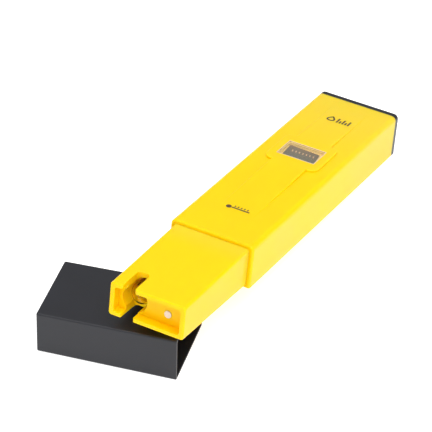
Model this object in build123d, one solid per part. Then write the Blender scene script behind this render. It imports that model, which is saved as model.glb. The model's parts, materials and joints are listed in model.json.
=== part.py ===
from build123d import *

import math
import os

# A pen-type pH meter with its protective cap, in millimetres.
#
# Every piece of the meter is drawn in the meter frame: x runs from the nose (0) to the far
# end (length), y runs across, and z runs through the thickness with the display on +z and
# the housing's mid-plane at z = 0.  The cap is drawn in its own frame: x runs from its closed
# end (0) to its mouth, and z runs up from the table.  resting_places() then gives where both
# lie: the cap flat on the table, the meter's nose on the cap's top edge and the meter's far
# end on the table.

# ---------------------------------------------------------------- driving dimensions
# Clearances and overlaps that many pieces share
touch_gap = 0.05
bond = 0.2
through = 1.0

# Button cells, which set the housing's width and thickness
cell_radius = 5.8
cell_thickness = 5.4
cell_count = 4
cell_clearance = 0.12
cell_edge_radius = 0.25
cell_pole_inset = 1.6
cell_pole_rise = 0.2
terminal_room = 1.42

# Housing
length = 150.0
side_wall = 1.5
face_wall = 1.2
front_edge_radius = 1.8
back_edge_radius = 0.8
cavity_corner = 0.5
nose_bulkhead = 2.0
step_edge_radius = 0.8

# Raised display strip on the front face, which fades out towards both ends
strip_rise = 0.7
strip_width = 12.9
strip_start_from_step = 16.0
strip_end_from_end = 8.0
strip_level_lead = 2.7
strip_level_tail = 0.3
strip_edge_radius = 0.3
surround_side = 2.9
surround_end = 4.55
surround_corner = 3.0

# Display window and display
window_from_end = 45.8
window_width = 13.8
window_length = 9.9
window_corner = 0.3
lens_thickness = 1.0
lens_clearance = 0.05
lens_ledge = 0.35
display_side_margin = 3.1
display_end_margin = 0.95
contact_ledge = 0.9
glass_thickness = 1.0
display_gap = 0.05
frame_wall = 1.3
frame_clearance = 0.1
frame_lip = 0.4
rubber_strip_width = 1.6
rubber_strip_inset = 0.1
rubber_strip_short = 1.0

# Electrode guard
guard_length = 41.0
step_side = 1.5
step_front = 1.25
step_back = 0.85
guard_taper_side = 0.3
guard_taper_front = 0.85
guard_taper_back = 1.05
guard_edge_radius = 1.0
nose_edge_radius = 0.4
rim_side = 1.6
rim_face = 1.4
pocket_depth = 3.4
pocket_corner = 0.9
slot_width = 4.3
slot_length = 10.1
slot_mouth_radius = 0.8
slot_end_radius = 1.3
slot_from_well = 0.75
well_offset = 6.1
well_drop = 0.1
well_gap = 0.6
well_depth = 11.6
probe_wall = 3.0
rear_cavity_side = 1.1
rear_cavity_rise = 0.7
rear_cavity_corner = 0.8
spigot_side_wall = 1.3
spigot_face_wall = 1.1
spigot_length = 6.0
spigot_corner = 1.0

# Glass electrode
bulb_radius = 3.8
bulb_wall = 0.35
bulb_swell = 0.3
bulb_reach = 1.6
stem_wall = 0.8
stem_past_step = 1.1
seal_length = 2.0
stopper_length = 4.0
stopper_head = 1.5
silver_wire_radius = 0.4
silver_wire_tail = 3.0
chloride_radius = 0.72
chloride_length = 4.0
chloride_from_centre = 0.5

# Reference half-cell
reference_offset = 5.7
chamber_radius = 3.6
chamber_wall = 0.8
chamber_front_wall = 1.2
chamber_from_step = 2.9
chamber_gap = 0.1
junction_radius = 1.2
junction_stand = 0.25
junction_drop = 0.9
junction_length = 16.9
plug_length = 3.0
plug_head = 1.0
junction_to_wire = 1.0

# Temperature sensor, potting and leads
sensor_y = -1.2
sensor_z = 3.0
sensor_radius = 0.9
sensor_stand = 0.3
sensor_tip_radius = 0.4
sensor_length = 17.0
potting_length = 5.5
potting_from_end = 0.5
lead_radius = 0.55
lead_bend = 2.5
lead_from_spigot = 1.0
lead_drop = 5.0
lead_tail = 5.0

# Circuit board
board_from_spigot = 7.0
board_gap_to_drawer = 1.5
board_thickness = 1.2
board_low_face = 1.2
board_side_gap = 0.3
rail_depth = 1.0
rail_height = 0.8
rail_lead = 2.0
rail_short = 1.0
chip_stand = 0.1
pin_thickness = 0.25
pin_share = 0.45
controller_size = (11.0, 8.0, 1.6)
controller_pins = 10
controller_pin_reach = 1.1
controller_from_frame = 2.0
amplifier_size = (5.0, 4.0, 1.5)
amplifier_pins = 4
amplifier_pin_reach = 1.0
amplifier_from_board_start = 10.0
amplifier_y = 3.5
resistor_size = (2.0, 1.25, 0.6)
resistor_pitch = 3.5
resistor_y = 7.0
capacitor_size = (3.2, 2.5, 1.6)
capacitor_y = 10.3
crystal_size = (3.4, 8.0, 2.5)
crystal_corner = 1.6
crystal_from_frame = 4.0
component_gap = 0.06

# Calibration trimmer
trimmer_from_board_start = 30.0
trimmer_side = 6.6
trimmer_height = 4.2
trimmer_corner = 0.5
screw_radius = 1.35
screw_length = 2.2
screw_stand = 0.4
screw_slot_width = 0.5
screw_slot_depth = 0.6
access_hole_radius = 1.6

# Battery drawer, power switch and power button
end_plate = 2.3
end_plate_edge_radius = 0.4
drawer_clearance = 0.08
drawer_floor = 0.7
drawer_wall = 1.2
drawer_side_wall = 1.2
drawer_corner = 0.5
switch_side = 6.2
switch_depth = 2.8
switch_corner = 0.5
switch_back_wall = 0.8
switch_board_thickness = 0.8
switch_board_top_gap = 0.6
plunger_radius = 1.6
plunger_start = 0.9
plunger_socket = 1.4
button_width = 9.0
button_height = 5.0
button_stand = 1.0
button_travel = 0.8
button_clearance = 0.12
button_flange = 0.8
button_flange_reach = 1.0
button_corner = 1.2
button_crown_radius = 0.4
button_spare_travel = 0.25

# Battery contacts
contact_thickness = 0.3
contact_width = 2.4
contact_from_wall = 2.2
contact_level = 4.0
contact_foot = 5.0
terminal_half_height = 4.6
terminal_touch_half = (2.0, 2.5)
terminal_past_centre = 5.0
terminal_foot_rise = 1.2
terminal_pad_width = 2.8
terminal_pad_height = 2.5
contact_slot_room = 0.3

# Protective cap
cap_clearance = 0.1
cap_wall = 0.9
cap_nose_room = 3.5
cap_end_wall = 1.5
cap_taper_side = 0.3
cap_taper_face = 0.3
cap_edge_radius = 0.7
cap_end_radius = 0.5
cap_inner_corner = 0.5
cap_mouth_break = 0.2

# How the two lie on the table
cap_yaw = -77.4
cap_mouth_from_nose = 19.8
cap_mouth_across = -5.8

# ---------------------------------------------------------------- derived dimensions
stack_width = cell_count * cell_thickness
cavity_width = stack_width + 2 * (terminal_room + drawer_side_wall + drawer_clearance)
cavity_half_height = cell_radius + cell_clearance + drawer_floor + drawer_clearance
housing_width = cavity_width + 2 * side_wall
half_thickness = cavity_half_height + face_wall
housing_thickness = 2 * half_thickness

housing_end = length - end_plate
cell_bay = 2 * (cell_radius + cell_clearance)
switch_bay = switch_board_thickness + switch_depth + button_flange + button_travel + button_spare_travel
drawer_start = housing_end - (2 * drawer_wall + cell_bay + switch_bay)
drawer_half_width = cavity_width / 2 - drawer_clearance
drawer_inner_half_width = drawer_half_width - drawer_side_wall
drawer_half_height = cavity_half_height - drawer_clearance
cell_centre = drawer_start + drawer_wall + cell_clearance + cell_radius
cells_end = drawer_start + drawer_wall + cell_bay
switch_board_start = cells_end + drawer_wall + touch_gap
switch_start = switch_board_start + switch_board_thickness
flange_start = housing_end - touch_gap - button_flange
contact_offset = drawer_inner_half_width - contact_from_wall

board_start = guard_length + spigot_length + board_from_spigot
board_end = drawer_start - board_gap_to_drawer
board_top = board_low_face + board_thickness
board_width = cavity_width - 2 * board_side_gap
contact_low = board_low_face - contact_level

window_centre = length - window_from_end
display_cover_length = window_length + 2 * display_end_margin
display_length = display_cover_length + 2 * contact_ledge
display_width = window_width + 2 * display_side_margin
display_face = cavity_half_height - display_gap
display_back = display_face - 2 * glass_thickness
frame_half_length = display_length / 2 + frame_clearance + frame_wall
strip_top = half_thickness + strip_rise
surround_length = window_length + 2 * surround_end
surround_width = window_width + 2 * surround_side

trimmer_centre = board_start + trimmer_from_board_start
trimmer_low = board_low_face - trimmer_height
screw_low = trimmer_low - screw_stand

guard_step_width = housing_width - 2 * step_side
guard_nose_width = guard_step_width - 2 * guard_taper_side
guard_step_front = half_thickness - step_front
guard_step_back = -(half_thickness - step_back)
guard_nose_front = guard_step_front - guard_taper_front
guard_nose_back = guard_step_back + guard_taper_back
stem_radius = bulb_radius - bulb_swell
slot_centre = well_offset + slot_from_well
well_radius = bulb_radius + well_gap
well_end = pocket_depth + well_depth
probe_cavity_start = well_end + probe_wall
glass_joint = well_end - seal_length
bulb_centre = pocket_depth + bulb_reach + bulb_radius
stem_end = guard_length + stem_past_step
rear_cavity_width = 2 * (well_offset + stem_radius + rear_cavity_side)
rear_cavity_height = 2 * (stem_radius + well_drop + rear_cavity_rise)
spigot_width = rear_cavity_width + 2 * spigot_side_wall
spigot_height = rear_cavity_height + 2 * spigot_face_wall
spigot_end = guard_length + spigot_length
chamber_start = probe_cavity_start + chamber_gap
chamber_end = guard_length - chamber_from_step
junction_start = pocket_depth - junction_stand
sensor_start = pocket_depth - sensor_stand

cap_inner_half_width = guard_step_width / 2 + cap_clearance
cap_inner_half_height = -guard_step_back + cap_clearance
cap_half_width = cap_inner_half_width + cap_wall
cap_length = guard_length + cap_nose_room + cap_end_wall
cap_height = housing_thickness


# ---------------------------------------------------------------- helpers
def across(x):
    """The y-z plane at x, with y as the sketch's first axis and z as its second."""
    return Plane(origin=(x, 0, 0), x_dir=(0, 1, 0), z_dir=(1, 0, 0))


def lengthwise(y=0.0, z=0.0):
    """The x-z plane through (0, y, z), with x as the sketch's first axis and z as its second."""
    return Plane(origin=(0, y, z), x_dir=(1, 0, 0), z_dir=(0, -1, 0))


def section(x, width, low, high, low_radius, high_radius):
    """A rounded cross-section at x, from z = low to z = high."""
    sheet = Pos(0, (low + high) / 2) * Rectangle(width, high - low)
    sheet = fillet(sheet.vertices().group_by(Axis.Y)[0], low_radius)
    sheet = fillet(sheet.vertices().group_by(Axis.Y)[-1], high_radius)
    return across(x) * sheet


def bar(x0, x1, y0, y1, z0, z1):
    """A plain block between two corners."""
    centre = Pos((x0 + x1) / 2, (y0 + y1) / 2, (z0 + z1) / 2)
    return centre * Box(abs(x1 - x0), abs(y1 - y0), abs(z1 - z0))


def rod(x0, x1, radius, y=0.0, z=0.0):
    """A round bar along x."""
    return Pos((x0 + x1) / 2, y, z) * Rot(0, 90, 0) * Cylinder(radius, x1 - x0)


def rounded_block(x0, x1, width, low, high, radius):
    """A block along x with its four long edges rounded."""
    return extrude(section(x0, width, low, high, radius, radius), x1 - x0)


def tapered_block(x0, x1, near, far, radius):
    """A block along x with leaning flat sides and rounded long edges.

    near and far are its half width, lowest and highest z at x0 and at x1.
    """
    near_half, near_low, near_high = near
    far_half, far_low, far_high = far
    side = Polyline((x0, near_low), (x1, far_low), (x1, far_high), (x0, near_high), close=True)
    plan = Polyline((x0, -near_half), (x1, -far_half), (x1, far_half), (x0, near_half), close=True)
    block = extrude(lengthwise() * make_face(side), housing_width, both=True)
    block &= extrude(make_face(plan), housing_width, both=True)
    return fillet(block.edges().filter_by(lambda edge: edge.bounding_box().size.X > touch_gap), radius)


def probe_rod(x0, x1, radius):
    """A round bar on the axis of the glass electrode."""
    return rod(x0, x1, radius, well_offset, -well_drop)


def reference_rod(x0, x1, radius):
    """A round bar on the axis of the reference half-cell."""
    return rod(x0, x1, radius, -reference_offset, 0)


def junction_rod(x0, x1, radius):
    """A round bar on the axis of the ceramic junction, low in the reference half-cell."""
    return rod(x0, x1, radius, -reference_offset, -junction_drop)


def sensor_rod(x0, x1, radius):
    """A round bar on the axis of the temperature sensor."""
    return rod(x0, x1, radius, sensor_y, sensor_z)


# ---------------------------------------------------------------- housing
def display_strip():
    """The raised strip and the wider surround of the display, drawn from inside the wall."""
    base = half_thickness - face_wall / 2
    start = guard_length + strip_start_from_step
    end = length - strip_end_from_end
    level_start = window_centre - surround_length / 2 - strip_level_lead
    level_end = window_centre + surround_length / 2 + strip_level_tail
    profile = Polyline(
        (start, base),
        (start, half_thickness),
        (level_start, strip_top),
        (level_end, strip_top),
        (end, half_thickness),
        (end, base),
        close=True,
    )
    hump = extrude(lengthwise() * make_face(profile), housing_width, both=True)
    plan = Pos((start + end) / 2, 0) * Rectangle(end - start, strip_width)
    plan += Pos(window_centre, 0) * RectangleRounded(surround_length, surround_width, surround_corner)
    strip = hump & extrude(Pos(0, 0, base) * plan, strip_top - base + through)
    crest = strip.edges().filter_by(
        lambda edge: edge.center().Z > strip_top - strip_edge_radius
        and level_start < edge.center().X < level_end
        and edge.bounding_box().size.Z < touch_gap
        and edge.bounding_box().size.Y < surround_width / 2
    )
    return fillet(crest, strip_edge_radius)


def window_cutter():
    """The lens recess and the smaller opening under it."""
    recess = RectangleRounded(
        window_length + 2 * lens_clearance, window_width + 2 * lens_clearance, window_corner
    )
    opening = Rectangle(window_length - 2 * lens_ledge, window_width - 2 * lens_ledge)
    cutter = extrude(Pos(window_centre, 0, strip_top - lens_thickness) * recess, 2 * lens_thickness)
    return cutter + extrude(Pos(window_centre, 0, 0) * opening, strip_top)


def board_rails():
    """The two pairs of ribs inside the housing that the circuit board slides between."""
    under = board_low_face - touch_gap
    over = board_top + touch_gap
    rails = []
    for side in (-1, 1):
        root = side * (cavity_width / 2 + bond)
        edge = side * (cavity_width / 2 - rail_depth)
        for low in (under - rail_height, over):
            rails.append(
                bar(board_start - rail_lead, board_end - rail_short, edge, root, low, low + rail_height)
            )
    return rails


def make_housing():
    """The moulded tube: open at the far end, with a bulkhead behind the step."""
    outer = extrude(
        section(guard_length, housing_width, -half_thickness, half_thickness,
                back_edge_radius, front_edge_radius),
        housing_end - guard_length,
    )
    outer = fillet(outer.faces().sort_by(Axis.X)[0].edges(), step_edge_radius)
    outer += display_strip()
    outer -= rounded_block(
        guard_length + nose_bulkhead, length, cavity_width,
        -cavity_half_height, cavity_half_height, cavity_corner,
    )
    outer -= rounded_block(
        guard_length - through, guard_length + nose_bulkhead + through,
        spigot_width + 2 * touch_gap,
        -spigot_height / 2 - touch_gap, spigot_height / 2 + touch_gap,
        spigot_corner + touch_gap,
    )
    outer -= window_cutter()
    access = Cylinder(access_hole_radius, 3 * face_wall)
    outer -= Pos(trimmer_centre, 0, -half_thickness) * access
    for rail in board_rails():
        outer += rail
    return outer


def make_display_window():
    """The clear lens, flush with the top of the surround."""
    sheet = RectangleRounded(window_length, window_width, window_corner)
    return extrude(Pos(window_centre, 0, strip_top - lens_thickness) * sheet, lens_thickness)


# ---------------------------------------------------------------- electrode guard
def guard_outline():
    """The outer shape of the guard, which narrows from the step to the nose."""
    nose = (guard_nose_width / 2, guard_nose_back, guard_nose_front)
    step = (guard_step_width / 2, guard_step_back, guard_step_front)
    body = tapered_block(0, guard_length, nose, step, guard_edge_radius)
    return fillet(body.faces().sort_by(Axis.X)[0].edges(), nose_edge_radius)


def slot_cutter():
    """One slot with a rounded mouth and rounded end corners, cut through the front and back walls."""
    left, right = slot_centre + slot_width / 2, slot_centre - slot_width / 2
    end = slot_length - slot_end_radius
    flare, turn = slot_mouth_radius, slot_end_radius
    outline = Line((-through, left + flare), (0, left + flare))
    outline += RadiusArc((0, left + flare), (flare, left), -flare)
    outline += Line((flare, left), (end, left))
    outline += RadiusArc((end, left), (slot_length, left - turn), turn)
    outline += Line((slot_length, left - turn), (slot_length, right + turn))
    outline += RadiusArc((slot_length, right + turn), (end, right), turn)
    outline += Line((end, right), (flare, right))
    outline += RadiusArc((flare, right), (0, right - flare), -flare)
    outline += Polyline((0, right - flare), (-through, right - flare), (-through, left + flare))
    return extrude(make_face(outline), housing_thickness, both=True)


def make_electrode_guard():
    """The nose moulding: pocket, well and slots in front, probe bores and spigot behind."""
    guard = guard_outline()
    guard += rounded_block(guard_length - bond, spigot_end, spigot_width,
                           -spigot_height / 2, spigot_height / 2, spigot_corner)
    guard -= rounded_block(-through, pocket_depth, guard_nose_width - 2 * rim_side,
                           guard_nose_back + rim_face, guard_nose_front - rim_face, pocket_corner)
    guard -= probe_rod(pocket_depth - through, well_end, well_radius)
    guard -= slot_cutter()
    guard -= rounded_block(probe_cavity_start, spigot_end + through, rear_cavity_width,
                           -rear_cavity_height / 2, rear_cavity_height / 2, rear_cavity_corner)
    bores_end = probe_cavity_start + through
    guard -= probe_rod(well_end - through, bores_end, stem_radius + touch_gap)
    guard -= junction_rod(pocket_depth - through, bores_end, junction_radius + touch_gap)
    return guard - sensor_rod(pocket_depth - through, bores_end, sensor_radius + touch_gap)


# ---------------------------------------------------------------- glass electrode
def make_glass_stem():
    """The lead-free glass tube that carries the bulb."""
    bore = probe_rod(0, length, stem_radius - stem_wall)
    return probe_rod(glass_joint, stem_end, stem_radius) - bore


def make_glass_bulb():
    """The thin pH-sensitive bulb, blown on the end of the stem and open towards it."""
    inner_radius = bulb_radius - bulb_wall
    bore_radius = stem_radius - stem_wall
    shoulder = bulb_centre + math.sqrt(bulb_radius**2 - stem_radius**2)
    throat = bulb_centre + math.sqrt(inner_radius**2 - bore_radius**2)
    tip = bulb_centre - bulb_radius
    inner_tip = bulb_centre - inner_radius
    slant = math.sqrt(0.5)
    outer_mid = (bulb_centre - slant * bulb_radius, slant * bulb_radius)
    inner_mid = (bulb_centre - slant * inner_radius, slant * inner_radius)
    outline = ThreePointArc((tip, 0), outer_mid, (shoulder, stem_radius))
    outline += Polyline((shoulder, stem_radius), (glass_joint, stem_radius),
                        (glass_joint, bore_radius), (throat, bore_radius))
    outline += ThreePointArc((throat, bore_radius), inner_mid, (inner_tip, 0))
    outline += Line((inner_tip, 0), (tip, 0))
    half_section = lengthwise(well_offset, -well_drop) * make_face(outline)
    return revolve(half_section, Axis((0, well_offset, -well_drop), (1, 0, 0)), 360)


def make_stem_seal():
    """The silicone ring at the bottom of the well, round the stem."""
    ring = probe_rod(glass_joint, well_end, well_radius - touch_gap)
    return ring - probe_rod(0, length, stem_radius + touch_gap)


def make_stem_stopper():
    """The rubber stopper in the open end of the stem, bored for the silver wire."""
    body = probe_rod(stem_end - stopper_length, stem_end, stem_radius - stem_wall - touch_gap)
    body += probe_rod(stem_end, stem_end + stopper_head, stem_radius)
    return body - probe_rod(0, length, silver_wire_radius + touch_gap)


def make_inner_electrode():
    """The silver wire inside the stem, with its thicker chlorided tip in the bulb."""
    tip = bulb_centre + chloride_from_centre
    wire = probe_rod(tip, stem_end + silver_wire_tail, silver_wire_radius)
    return wire + probe_rod(tip, tip + chloride_length, chloride_radius)


# ---------------------------------------------------------------- reference half-cell
def make_reference_junction():
    """The porous ceramic pin, which shows as a pale disc on the pocket floor."""
    return junction_rod(junction_start, junction_start + junction_length, junction_radius)


def make_reference_chamber():
    """The tube of reference gel, closed at the front round the junction."""
    body = reference_rod(chamber_start, chamber_end, chamber_radius)
    body -= reference_rod(chamber_start + chamber_front_wall, length, chamber_radius - chamber_wall)
    return body - junction_rod(0, length, junction_radius + touch_gap)


def make_reference_plug():
    """The plug that closes the reference chamber."""
    plug = reference_rod(chamber_end - plug_length, chamber_end,
                         chamber_radius - chamber_wall - touch_gap)
    plug += reference_rod(chamber_end, chamber_end + plug_head, chamber_radius)
    return plug - reference_rod(0, length, silver_wire_radius + touch_gap)


def make_reference_wire():
    """The second silver wire, in the reference gel."""
    start = junction_start + junction_length + junction_to_wire
    return reference_rod(start, chamber_end + silver_wire_tail, silver_wire_radius)


# ---------------------------------------------------------------- sensor, potting and leads
def make_temperature_sensor():
    """The thermistor in its slim sleeve, with a rounded tip just proud of the pocket floor."""
    body = sensor_rod(sensor_start, sensor_start + sensor_length, sensor_radius)
    return fillet(body.edges().sort_by(Axis.X)[0], sensor_tip_radius)


def make_potting_block():
    """The epoxy that closes the back of the guard, cast round stem, chamber and sensor lead."""
    end = spigot_end - potting_from_end
    block = rounded_block(
        end - potting_length, end, rear_cavity_width - 2 * touch_gap,
        -rear_cavity_height / 2 + touch_gap, rear_cavity_height / 2 - touch_gap, rear_cavity_corner,
    )
    block -= probe_rod(0, length, stem_radius + touch_gap)
    block -= reference_rod(0, length, chamber_radius + touch_gap)
    return block - sensor_rod(0, length, lead_radius + touch_gap)


def lead(start, y, z_start):
    """One insulated lead along x, which eases down or up to lie just under the circuit board."""
    z_end = board_low_face - lead_radius - touch_gap
    drop_start = spigot_end + lead_from_spigot
    drop_end = drop_start + lead_drop
    route = FilletPolyline(
        (start, y, z_start),
        (drop_start, y, z_start),
        (drop_end, y, z_end),
        (drop_end + lead_tail, y, z_end),
        radius=lead_bend,
    )
    ring = Plane(origin=(start, y, z_start), x_dir=(0, 1, 0), z_dir=(1, 0, 0)) * Circle(lead_radius)
    return sweep(ring, path=route)


def make_electrode_lead():
    """The lead from the silver wire in the stem to the amplifier."""
    return lead(stem_end + silver_wire_tail + touch_gap, well_offset, -well_drop)


def make_reference_lead():
    """The lead from the reference wire to the board."""
    return lead(chamber_end + silver_wire_tail + touch_gap, -reference_offset, 0)


def make_sensor_lead():
    """The twin lead from the thermistor to the board."""
    return lead(sensor_start + sensor_length + touch_gap, sensor_y, sensor_z)


# ---------------------------------------------------------------- display and board
def make_display_panel():
    """The liquid-crystal cell: a lower plate and a shorter cover plate."""
    middle = display_back + glass_thickness
    lower = Pos(window_centre, 0, middle - glass_thickness / 2) * Box(
        display_length, display_width, glass_thickness
    )
    cover = Pos(window_centre, 0, middle + glass_thickness / 2) * Box(
        display_cover_length, display_width, glass_thickness
    )
    return lower + cover


def make_display_frame():
    """The black frame that holds the display down on its connector strips."""
    inner_length = display_length + 2 * frame_clearance
    inner_width = display_width + 2 * frame_clearance
    top = display_back + glass_thickness + frame_lip
    height = top - board_top
    frame = Box(inner_length + 2 * frame_wall, inner_width + 2 * frame_wall, height)
    frame -= Box(inner_length, inner_width, height + through)
    return Pos(window_centre, 0, board_top + height / 2) * frame


def make_connector_strip(side):
    """One conductive rubber strip, squeezed between the board and the display's contacts."""
    height = display_back - board_top
    offset = side * (display_length / 2 - rubber_strip_width / 2 - rubber_strip_inset)
    return Pos(window_centre + offset, 0, board_top + height / 2) * Box(
        rubber_strip_width, display_width - rubber_strip_short, height
    )


def make_main_board():
    """The circuit board, which slides into the housing's rails."""
    half_width = board_width / 2
    return bar(board_start, board_end, -half_width, half_width, board_low_face, board_top)


def chip(x, y, face, side, size, pins, pin_reach):
    """A flat chip on one face of the board, with pins along its two long sides."""
    body_length, body_width, height = size
    body_middle = face + side * (chip_stand + height / 2)
    body = Pos(x, y, body_middle) * Box(body_length, body_width, height)
    pitch = body_length / pins
    pin_middle = face + side * pin_thickness / 2
    for index in range(pins):
        pin_x = x - body_length / 2 + (index + 0.5) * pitch
        body += Pos(pin_x, y, pin_middle) * Box(
            pin_share * pitch, body_width + 2 * pin_reach, pin_thickness
        )
    return body


def controller_centre():
    """Where the controller sits along the board, next to the display's frame."""
    return window_centre - frame_half_length - controller_from_frame - controller_size[0] / 2


def make_controller_chip():
    """The measuring and display controller, on the board's top face."""
    return chip(controller_centre(), 0, board_top, 1, controller_size, controller_pins,
                controller_pin_reach)


def make_amplifier_chip():
    """The high-impedance amplifier under the board, where the electrode leads arrive."""
    return chip(board_start + amplifier_from_board_start, amplifier_y, board_low_face, -1,
                amplifier_size, amplifier_pins, amplifier_pin_reach)


def make_board_components():
    """Resistors, capacitors and the crystal on the board's top face, as separate solids."""
    middle = controller_centre()
    crystal_x = window_centre + frame_half_length + crystal_from_frame
    places = []
    for side in (-1, 1):
        places += [(middle + step * resistor_pitch, side * resistor_y, resistor_size)
                   for step in (-1, 0, 1)]
        places += [(middle, side * capacitor_y, capacitor_size),
                   (crystal_x, side * capacitor_y, capacitor_size)]
    blocks = [
        Pos(x, y, board_top + component_gap + size[2] / 2) * Box(*size) for x, y, size in places
    ]
    crystal = Pos(crystal_x, 0, board_top + component_gap + crystal_size[2] / 2) * Box(*crystal_size)
    blocks.append(fillet(crystal.edges().filter_by(Axis.Z), crystal_corner))
    return Compound(children=blocks)


# ---------------------------------------------------------------- calibration trimmer
def make_trimmer_body():
    """The calibration trimmer under the board, in line with the hole in the back face."""
    centre = Pos(trimmer_centre, 0, board_low_face - trimmer_height / 2)
    body = centre * Box(trimmer_side, trimmer_side, trimmer_height)
    body = fillet(body.edges().filter_by(Axis.Z), trimmer_corner)
    seat_depth = screw_length - screw_stand + touch_gap
    seat = Cylinder(screw_radius + touch_gap, 2 * seat_depth)
    return body - Pos(trimmer_centre, 0, trimmer_low) * seat


def make_trimmer_screw():
    """The slotted adjusting screw of the trimmer."""
    middle = screw_low + screw_length / 2
    screw = Pos(trimmer_centre, 0, middle) * Cylinder(screw_radius, screw_length)
    slot = Box(screw_slot_width, 3 * screw_radius, 2 * screw_slot_depth)
    return screw - Pos(trimmer_centre, 0, screw_low) * slot


# ---------------------------------------------------------------- battery drawer
def make_battery_drawer():
    """The black end plate with its tray for the cells and its pocket for the switch."""
    plate = extrude(
        section(housing_end, housing_width, -half_thickness, half_thickness,
                back_edge_radius, front_edge_radius),
        end_plate,
    )
    plate = fillet(plate.faces().sort_by(Axis.X)[-1].edges(), end_plate_edge_radius)
    tray = rounded_block(drawer_start, housing_end + bond, 2 * drawer_half_width,
                         -drawer_half_height, drawer_half_height, drawer_corner)
    inner = drawer_inner_half_width
    floor = -drawer_half_height + drawer_floor
    above = drawer_half_height + through
    tray -= bar(drawer_start + drawer_wall, cells_end, -inner, inner, floor, above)
    tray -= bar(cells_end + drawer_wall, housing_end, -inner, inner, floor, above)
    slot_half = terminal_pad_width / 2 + contact_slot_room
    slot_top = contact_low + terminal_pad_height / 2 + contact_slot_room
    slot_low = contact_low - terminal_pad_height / 2 - contact_slot_room
    for side in (-1, 1):
        y = side * contact_offset
        tray -= bar(drawer_start - through, drawer_start + drawer_wall + bond,
                    y - slot_half, y + slot_half, slot_low, slot_top)
    opening = RectangleRounded(
        button_width + 2 * button_clearance, button_height + 2 * button_clearance, button_corner
    )
    return plate + tray - extrude(across(housing_end - bond) * opening, end_plate + through)


def make_cell(index):
    """One button cell: the can, and the smaller raised face of its other pole."""
    start = (index - cell_count / 2) * cell_thickness
    can_thickness = cell_thickness - cell_pole_rise - touch_gap
    on_edge = Rot(90, 0, 0)
    can = Pos(cell_centre, start + can_thickness / 2, 0) * on_edge * Cylinder(
        cell_radius, can_thickness
    )
    can = fillet(can.edges(), cell_edge_radius)
    pole = Pos(cell_centre, start + can_thickness, 0) * on_edge * Cylinder(
        cell_radius - cell_pole_inset, 2 * cell_pole_rise
    )
    return can + pole


def make_terminal(side):
    """A battery terminal: a plate by the stack, its raised pad, and a foot at the front wall."""
    stack_end = side * (stack_width / 2 + touch_gap)
    outer = side * (drawer_inner_half_width - touch_gap)
    face = outer - side * contact_thickness
    y = side * contact_offset
    inside_wall = drawer_start + drawer_wall + touch_gap
    foot_end = inside_wall + contact_thickness
    foot_top = contact_low + contact_thickness
    pad_start = drawer_start - contact_thickness
    pad_half = terminal_pad_height / 2
    touch_length, touch_height = terminal_touch_half
    strip_half = contact_width / 2
    plate = bar(inside_wall, cell_centre + terminal_past_centre, face, outer,
                -terminal_half_height, terminal_half_height)
    pad = bar(cell_centre - touch_length, cell_centre + touch_length, stack_end,
              (face + outer) / 2, -touch_height, touch_height)
    foot = bar(inside_wall, foot_end, y - side * strip_half, outer, contact_low,
               contact_low + terminal_foot_rise)
    step = bar(pad_start, foot_end, y - strip_half, y + strip_half, contact_low, foot_top)
    front = bar(pad_start, drawer_start - touch_gap, y - terminal_pad_width / 2,
                y + terminal_pad_width / 2, contact_low - pad_half, contact_low + pad_half)
    return plate + pad + foot + step + front


def make_board_contacts():
    """The two spring blades that reach from the board to the battery drawer."""
    top = board_low_face - touch_gap
    blade_end = drawer_start - contact_thickness - touch_gap
    bend = board_end + contact_thickness
    blades = []
    for side in (-1, 1):
        y0 = side * contact_offset - contact_width / 2
        y1 = y0 + contact_width
        foot = bar(board_end - contact_foot, bend, y0, y1, top - contact_thickness, top)
        drop = bar(board_end, bend, y0, y1, contact_low, top)
        nose = bar(board_end, blade_end, y0, y1, contact_low, contact_low + contact_thickness)
        blades.append(foot + drop + nose)
    return Compound(children=blades)


# ---------------------------------------------------------------- power switch and button
def make_switch_board():
    """The small board that carries the power switch."""
    half_width = drawer_inner_half_width - 2 * touch_gap
    low = -drawer_half_height + drawer_floor + touch_gap
    return bar(switch_board_start, switch_start, -half_width, half_width, low,
               cavity_half_height - switch_board_top_gap)


def make_power_switch():
    """The body of the power switch, bored for its plunger."""
    half = switch_side / 2
    start = switch_start + touch_gap
    body = bar(start, start + switch_depth, -half, half, -half, half)
    body = fillet(body.edges().filter_by(Axis.X), switch_corner)
    return body - rod(start + switch_back_wall, start + switch_depth + through,
                      plunger_radius + touch_gap)


def make_switch_plunger():
    """The switch's plunger, which travels with the button."""
    return rod(switch_start + switch_depth - plunger_start, flange_start + plunger_socket,
               plunger_radius)


def make_power_button():
    """The push button in the end plate, with the flange that keeps it in."""
    flange = RectangleRounded(button_width + 2 * button_flange_reach,
                              button_height + 2 * button_flange_reach, button_corner)
    key = RectangleRounded(button_width, button_height, button_corner - button_clearance)
    body = extrude(across(flange_start) * flange, button_flange)
    body += extrude(across(flange_start) * key, length + button_stand - flange_start)
    body = fillet(body.faces().sort_by(Axis.X)[-1].edges(), button_crown_radius)
    return body - rod(flange_start - through, flange_start + plunger_socket + touch_gap,
                      plunger_radius + touch_gap)


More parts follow.
